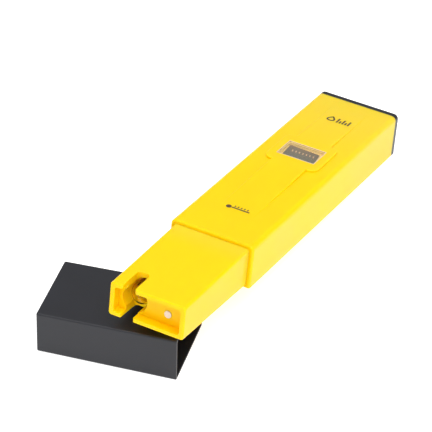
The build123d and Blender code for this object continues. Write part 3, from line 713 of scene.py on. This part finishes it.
@dataclass
class Bench:
    """Where pieces are finished: it places them, dresses them and lets them ride."""

    paints: Paints
    place: Matrix

    def finish_piece(self, name: str, mesh: bmesh.types.BMesh, finish: Finish, body: Body,
                     slot: Slot, shade_angle: float = 35.0) -> None:
        """Turns a mesh in meter millimetres into a finished piece.

        Args:
            name: the piece's name.
            mesh: its shape in the meter frame, freed here.
            finish: what it is made of.
            body: the body it rides on.
            slot: not used.
            shade_angle: edges sharper than this many degrees stay crisp.
        """
        bmesh.ops.remove_doubles(mesh, verts=mesh.verts, dist=WELD_MM)
        bmesh.ops.recalc_face_normals(mesh, faces=mesh.faces)
        bmesh.ops.transform(mesh, matrix=self.place, verts=mesh.verts)
        limit = math.radians(shade_angle)
        for face in mesh.faces:
            face.smooth = True
        for edge in mesh.edges:
            edge.smooth = edge.calc_face_angle(0.0) < limit
        piece = show_mesh(name, mesh, self.paints.of(finish))
        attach(piece, body.value)
        log.info("%s: %d faces, rides on %s", name, len(piece.data.polygons), body.value)


# ---------------------------------------------------------------- the printed signs
@dataclass
class PrintedSigns:
    """Two small pad-printed signs on the raised strip: a drop for the liquid, and a thermometer.

    They are plain stencils. The film follows the strip, which rises from strip_start to its level
    and falls again to strip_end. Places along the meter are from the nose, and across it to the
    left of its middle.
    """

    bench: Bench
    face_height: float = 7.9
    strip_rise: float = 0.7
    strip_start: float = 57.0
    level_start: float = 92.0
    level_end: float = 114.0
    strip_end: float = 142.0
    film: float = 0.03
    sunk: float = 0.02
    stroke: float = 0.6
    bar_count: int = 5
    round_sides: int = 48
    drop_place: tuple[float, float] = (132.7, 2.7)
    drop_radius: float = 1.45
    drop_stretch: tuple[float, float] = (1.25, 1.35)
    scale_foot: float = 130.95
    scale_across: float = 0.1
    scale_pitch: float = 1.05
    scale_bars: tuple[float, float] = (3.2, 1.8)
    bulb_place: tuple[float, float] = (59.0, 3.6)
    bulb_radius: float = 0.95
    stem_gap: float = 0.15
    stem_length: float = 6.4
    degree_rise: float = 1.05
    degree_gap: float = 0.9
    degree_pitch: float = 1.15
    degree_size: tuple[float, float] = (0.9, 0.4)

    def height(self, x: float) -> float:
        """Gives the height of the strip's surface.

        Args:
            x: the place along the meter.

        Returns:
            The height there.
        """
        rise = (x - self.strip_start) / (self.level_start - self.strip_start)
        fall = (self.strip_end - x) / (self.strip_end - self.level_end)
        return self.face_height + self.strip_rise * max(0.0, min(1.0, rise, fall))

    def lay(self, mesh: bmesh.types.BMesh) -> None:
        """Gives a flat figure its film thickness and lays it on the strip.

        Args:
            mesh: the flat figure.
        """
        top = raise_faces(mesh, mesh.faces[:])
        for vert in mesh.verts:
            vert.co.z = self.height(vert.co.x) - self.sunk
        for vert in top:
            vert.co.z += self.film + self.sunk

    def ring(self, mesh: bmesh.types.BMesh, radius: float, centre: Vector,
             shape: Callable[[Vector], Vector], hollow: bool) -> None:
        """Adds a round figure, hollow or filled, after bending it by shape.

        Args:
            mesh: the mesh that takes it.
            radius: its radius before it is bent.
            centre: its middle.
            shape: moves each of its points, given about its middle.
            hollow: whether only its outline is printed.
        """
        made = bmesh.ops.create_circle(mesh, cap_ends=True, cap_tris=False,
                                       segments=self.round_sides, radius=radius)
        for vert in made["verts"]:
            vert.co = shape(vert.co) + centre
        if hollow:
            face = next(f for f in mesh.faces if all(v in made["verts"] for v in f.verts))
            bmesh.ops.inset_region(mesh, faces=[face], thickness=self.stroke, use_boundary=True)
            bmesh.ops.delete(mesh, geom=[face], context="FACES")

    def make_drop(self) -> None:
        """The liquid sign: a drop with its point away from the nose, beside a scale of bars."""
        mesh = bmesh.new()
        along, across = self.drop_stretch

        def pointed(co: Vector) -> Vector:
            """Draws a circle out to a point on its far side."""
            slim = math.sqrt(max(0.0, 1 - co.x / self.drop_radius) / 2)
            return Vector((along * co.x, across * co.y * slim, 0))

        self.ring(mesh, self.drop_radius, Vector((*self.drop_place, 0)), pointed, hollow=True)
        for step in range(self.bar_count):
            tall = self.scale_bars[step % 2]
            place = (self.scale_foot + tall / 2, self.scale_across - self.scale_pitch * step, 0)
            flat_sheet(mesh, place, (tall, self.stroke))
        self.lay(mesh)
        self.bench.finish_piece("liquid_sign", mesh, PRINT_INK, Body.METER, Slot.COMPONENTS)

    def make_thermometer(self) -> None:
        """The temperature sign: a thermometer lying across the meter, with its degree bars."""
        mesh = bmesh.new()
        x, y = self.bulb_place
        foot = y - self.bulb_radius
        self.ring(mesh, self.bulb_radius, Vector((x, y, 0)), lambda co: co, hollow=False)
        flat_sheet(mesh, (x, foot - self.stem_gap - self.stem_length / 2, 0),
                   (self.stroke, self.stem_length))
        for step in range(self.bar_count):
            across = foot - self.degree_gap - self.degree_pitch * step
            flat_sheet(mesh, (x + self.degree_rise, across, 0), self.degree_size)
        self.lay(mesh)
        self.bench.finish_piece("temperature_sign", mesh, PRINT_INK, Body.METER, Slot.COMPONENTS)

    def build(self) -> None:
        """Prints both signs."""
        self.make_drop()
        self.make_thermometer()


# ---------------------------------------------------------------- the display
@dataclass
class Display:
    """What shows through the lens: the tape that holds it, the film and its unlit segments."""

    bench: Bench
    centre: float = 104.2
    opening_length: float = 9.2
    opening_width: float = 13.1
    lens_length: float = 9.9
    lens_width: float = 13.8
    lens_bottom: float = 7.6
    lens_top: float = 8.6
    glass_top: float = 6.65
    tape_wall: float = 0.12
    tape_film: float = 0.012
    film_thickness: float = 0.12
    film_corners: tuple[tuple[float, float], ...] = (
        (99.9, 5.7), (99.9, -6.3), (108.0, -5.1), (108.6, 6.3),
    )
    mask_thickness: float = 0.05
    mask_gap: float = 0.15
    bead_width: float = 0.28
    bead_thickness: float = 0.03
    segment_count: int = 7
    segment_pitch: float = 1.3
    segment_place: float = 105.5
    segment_size: tuple[float, float, float] = (1.2, 0.4, 0.03)
    segment_slant: float = 14.0

    def ring(self, mesh: bmesh.types.BMesh, outer: tuple[float, float],
             inner: tuple[float, float], low: float, high: float) -> None:
        """Adds a flat four-sided ring about the middle of the display.

        Args:
            mesh: the mesh that takes it.
            outer: its outer length and width.
            inner: its inner length and width.
            low: its lower height.
            high: its upper height.
        """
        face = flat_sheet(mesh, (self.centre, 0, low), outer)
        bmesh.ops.inset_region(mesh, faces=[face], thickness=min(outer) / 4, use_boundary=True)
        for vert in face.verts:
            vert.co.x = self.centre + math.copysign(inner[0] / 2, vert.co.x - self.centre)
            vert.co.y = math.copysign(inner[1] / 2, vert.co.y)
        rim = [f for edge in face.edges for f in edge.link_faces if f is not face]
        bmesh.ops.delete(mesh, geom=[face], context="FACES_KEEP_BOUNDARY")
        for vert in raise_faces(mesh, rim):
            vert.co.z = high

    def make_tape(self) -> None:
        """The tape: a flange on the ledge under the lens and a skirt down the opening's walls."""
        mesh = bmesh.new()
        opening = (self.opening_length, self.opening_width)
        inner = tuple(side - 2 * self.tape_wall for side in opening)
        lens = (self.lens_length - self.tape_wall, self.lens_width - self.tape_wall)
        skirt_foot = self.glass_top + self.film_thickness / 2
        self.ring(mesh, opening, inner, skirt_foot, self.lens_bottom)
        self.ring(mesh, lens, opening, self.lens_bottom, self.lens_bottom + self.tape_film)
        self.bench.finish_piece("lens_tape", mesh, LENS_TAPE, Body.METER, Slot.DISPLAY_GLASS)

    def make_bead(self) -> None:
        """The thin bead of glue that closes the joint round the lens."""
        mesh = bmesh.new()
        outer = (self.lens_length + self.bead_width / 2, self.lens_width + self.bead_width / 2)
        inner = tuple(side - 2 * self.bead_width for side in outer)
        self.ring(mesh, outer, inner, self.lens_top, self.lens_top + self.bead_thickness)
        self.bench.finish_piece("lens_bead", mesh, GLUE_BEAD, Body.METER, Slot.DISPLAY_GLASS)

    def make_mask(self) -> None:
        """The sand-coloured mask on the display's glass, which frames the film."""
        mesh = bmesh.new()
        size = (self.opening_length - 2 * self.mask_gap, self.opening_width - 2 * self.mask_gap,
                self.mask_thickness)
        plate(mesh, (self.centre, 0, self.glass_top + self.mask_thickness / 2), size)
        soften(mesh, self.mask_thickness / 4)
        self.bench.finish_piece("display_mask", mesh, LENS_TAPE, Body.METER, Slot.DISPLAY_GLASS)

    def make_film(self) -> None:
        """The polarising film on the mask, cut a little askew, with softened edges."""
        mesh = bmesh.new()
        low = self.glass_top + self.mask_thickness
        sheet = mesh.faces.new([mesh.verts.new((x, y, low)) for x, y in self.film_corners])
        for vert in raise_faces(mesh, [sheet]):
            vert.co.z = self.glass_top + self.film_thickness
        soften(mesh, self.mask_thickness / 4)
        half = self.opening_length / 2
        near, far = (self.bench.place @ Vector((self.centre + side * half, 0, self.glass_top))
                     for side in (-1, 1))
        finish = replace(DISPLAY_FILM, from_x_mm=near.x / MM, to_x_mm=far.x / MM)
        self.bench.finish_piece("display_film", mesh, finish, Body.METER, Slot.DISPLAY_GLASS)

    def make_segments(self) -> None:
        """The row of slanted segments, which show faintly while the display rests."""
        mesh = bmesh.new()
        height = self.glass_top + self.film_thickness
        first = self.segment_pitch * (self.segment_count - 1) / 2
        for step in range(self.segment_count):
            place = (self.segment_place, first - step * self.segment_pitch, height)
            plate(mesh, place, self.segment_size, self.segment_slant)
        soften(mesh, self.segment_size[2] / 4)
        self.bench.finish_piece("display_segments", mesh, SEGMENT, Body.METER, Slot.DISPLAY_GLASS)

    def build(self) -> None:
        """Builds the pieces under the lens and the bead round it."""
        self.make_tape()
        self.make_bead()
        self.make_mask()
        self.make_film()
        self.make_segments()


# ---------------------------------------------------------------- the main board
@dataclass
class BoardWork:
    """Copper tracks and solder joints on the main board.

    A run is given by the distance of its middle from one end of the board, and its length.
    """

    bench: Bench
    board_start: float = 54.0
    board_end: float = 127.3
    board_top: float = 2.4
    copper: float = 0.03
    track_width: float = 0.35
    track_count: int = 7
    track_pitch: float = 1.9
    near_run: tuple[float, float] = (10.0, 12.0)
    far_run: tuple[float, float] = (4.0, 5.0)
    pad_size: tuple[float, float] = (0.4, 4.0)
    pad_across: float = 5.7
    lead_start: float = 4.0
    lead_rows: tuple[float, ...] = (6.1, -1.2, -5.7)
    joint_count: int = 2
    joint_pitch: float = 3.0
    joint_radius: float = 0.75
    joint_height: float = 0.5
    joint_sunk: float = 0.02
    joint_foot: float = 0.01
    joint_facets: tuple[int, int] = (20, 12)

    def make_tracks(self) -> None:
        """The copper tracks, in two runs of parallel lines along the board's top face."""
        mesh = bmesh.new()
        height = self.board_top + self.copper / 2
        runs = ((self.board_start + self.near_run[0], self.near_run[1]),
                (self.board_end - self.far_run[0], self.far_run[1]))
        for row in range(self.track_count):
            y = self.track_pitch * (row - (self.track_count - 1) / 2)
            for middle, length in runs:
                plate(mesh, (middle, y, height), (length, self.track_width, self.copper))
        for side in (-1, 1):
            plate(mesh, (self.board_start + self.lead_start, side * self.pad_across, height),
                  (*self.pad_size, self.copper))
        soften(mesh, self.copper / 4)
        self.bench.finish_piece("board_tracks", mesh, COPPER, Body.METER, Slot.BOARD)

    def make_joints(self) -> None:
        """The solder joints over the ends of the three leads, as low domes on the top face."""
        mesh = bmesh.new()
        around, over = self.joint_facets
        size = (self.joint_radius, self.joint_radius, self.joint_height, 1.0)
        height = self.board_top - self.joint_sunk
        for y in self.lead_rows:
            for step in range(self.joint_count):
                x = self.board_start + self.lead_start + self.joint_pitch * step
                matrix = Matrix.Translation((x, y, height)) @ Matrix.Diagonal(size)
                made = bmesh.ops.create_uvsphere(mesh, u_segments=around, v_segments=over,
                                                 radius=1.0, matrix=matrix)
                for vert in made["verts"]:
                    vert.co.z = max(vert.co.z, height - self.joint_foot)
        self.bench.finish_piece("board_solder", mesh, SOLDER, Body.METER, Slot.STEEL, 60.0)

    def build(self) -> None:
        """Builds the board's copper and solder."""
        self.make_tracks()
        self.make_joints()


# ---------------------------------------------------------------- studio
@dataclass(frozen=True)
class Softbox:
    """A square lamp that is turned to the middle of the object."""

    name: str
    place: tuple[float, float, float]
    side: float
    power: float


@dataclass
class Studio:
    """The pale table, the soft lamps and the camera."""

    LAMPS: ClassVar[tuple[Softbox, ...]] = (
        Softbox("overhead_softbox", (-0.25, -0.35, 1.5), 1.5, 20.0),
        Softbox("near_side_softbox", (-0.2, -1.5, 0.55), 1.0, 4.0),
        Softbox("nose_softbox", (-1.5, -0.1, 0.7), 1.0, 4.0),
    )
    table_size: float = 6.0
    table_sides: int = 64
    table_colour: str = "#DCDCDC"
    table_roughness: float = 0.9
    table_specular: float = 0.1
    table_glow: float = 0.7
    low_room: float = 0.12
    high_room: float = 1.0
    aim_mm: tuple[float, float, float] = (-2.087, -0.103, 12.67)
    distance_mm: float = 879.85
    azimuth: float = 27.457
    elevation: float = 36.988
    roll: float = 1.937
    lens: float = 222.44
    sensor: float = 36.0
    clip: tuple[float, float] = (0.05, 20.0)

    def make_table(self) -> None:
        """The table top, a pale sheet that is far larger than the view and glows a little."""
        material = bpy.data.materials.new("pale_table")
        material.use_nodes = True
        shader = material.node_tree.nodes["Principled BSDF"]
        shader.inputs["Base Color"].default_value = linear(self.table_colour)
        shader.inputs["Roughness"].default_value = self.table_roughness
        shader.inputs["Specular IOR Level"].default_value = self.table_specular
        shader.inputs["Emission Color"].default_value = linear(WHITE)
        shader.inputs["Emission Strength"].default_value = self.table_glow
        mesh = bmesh.new()
        bmesh.ops.create_circle(mesh, cap_ends=True, segments=self.table_sides,
                                radius=self.table_size / 2)
        table = show_mesh("table", mesh, material)

    def make_lamps(self) -> None:
        """The softboxes, each turned to the middle of the object."""
        for box in self.LAMPS:
            lamp = bpy.data.lights.new(box.name, "AREA")
            lamp.shape = "SQUARE"
            lamp.size = box.side
            lamp.energy = box.power
            holder = put_in_scene(box.name, lamp)
            holder.location = box.place
            holder.rotation_euler = (-Vector(box.place)).to_track_quat("-Z", "Y").to_euler()

    def make_room(self) -> None:
        """The even light of the room, dim below and bright above, and white behind the table."""
        world = bpy.data.worlds.new("studio_room")
        world.use_nodes = True
        tree = world.node_tree
        tree.nodes.clear()
        rays = add_node(tree, "ShaderNodeLightPath", {})
        way = add_node(tree, "ShaderNodeTexCoord", {}).outputs["Generated"]
        axes = add_node(tree, "ShaderNodeSeparateXYZ", {}, {"Vector": way})
        height = add_node(tree, "ShaderNodeMapRange", {
            "To Min": self.low_room, "To Max": self.high_room,
        }, {"Value": axes.outputs["Z"]})
        strength = add_node(tree, "ShaderNodeMapRange", {"To Max": 1.0}, {
            "Value": rays.outputs["Is Camera Ray"], "To Min": height.outputs["Result"],
        })
        room = add_node(tree, "ShaderNodeBackground", {"Color": linear(WHITE)},
                        {"Strength": strength.outputs["Result"]})
        add_node(tree, "ShaderNodeOutputWorld", {}, {"Surface": room.outputs["Background"]})
        bpy.context.scene.world = world

    def make_camera(self) -> None:
        """The camera, a long lens that looks down on the nose from the left."""
        turn, tilt, roll = (math.radians(a) for a in (self.azimuth, self.elevation, self.roll))
        ahead = Vector((math.cos(turn) * math.cos(tilt), math.sin(turn) * math.cos(tilt),
                        -math.sin(tilt)))
        right = Vector((math.sin(turn), -math.cos(turn), 0))
        level = Matrix((right, right.cross(ahead), -ahead)).transposed()
        rolled = level @ Matrix.Rotation(roll, 3, "Z")
        place = (Vector(self.aim_mm) - ahead * self.distance_mm) * MM
        data = bpy.data.cameras.new("camera")
        data.lens = self.lens
        data.sensor_width = self.sensor
        data.clip_start, data.clip_end = self.clip
        camera = put_in_scene("camera", data)
        camera.matrix_world = Matrix.Translation(place) @ rolled.to_4x4()
        bpy.context.scene.camera = camera

    def build(self) -> None:
        """Sets up the table, the light and the camera."""
        self.make_table()
        self.make_lamps()
        self.make_room()
        self.make_camera()
        bpy.context.scene.view_settings.view_transform = "Standard"


def main() -> None:
    """Builds the finishes, the added pieces and the studio."""
    logging.basicConfig(level=logging.INFO, format="%(name)s: %(message)s")
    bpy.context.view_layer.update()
    paints = Paints()
    paints.dress_nodes()
    bench = Bench(paints, MeterFrame().matrix())
    for assembly in (PrintedSigns(bench), Display(bench), BoardWork(bench)):
        assembly.build()
        log.info("%s is built", type(assembly).__name__)
    Studio().build()


if __name__ == "__main__":
    main()
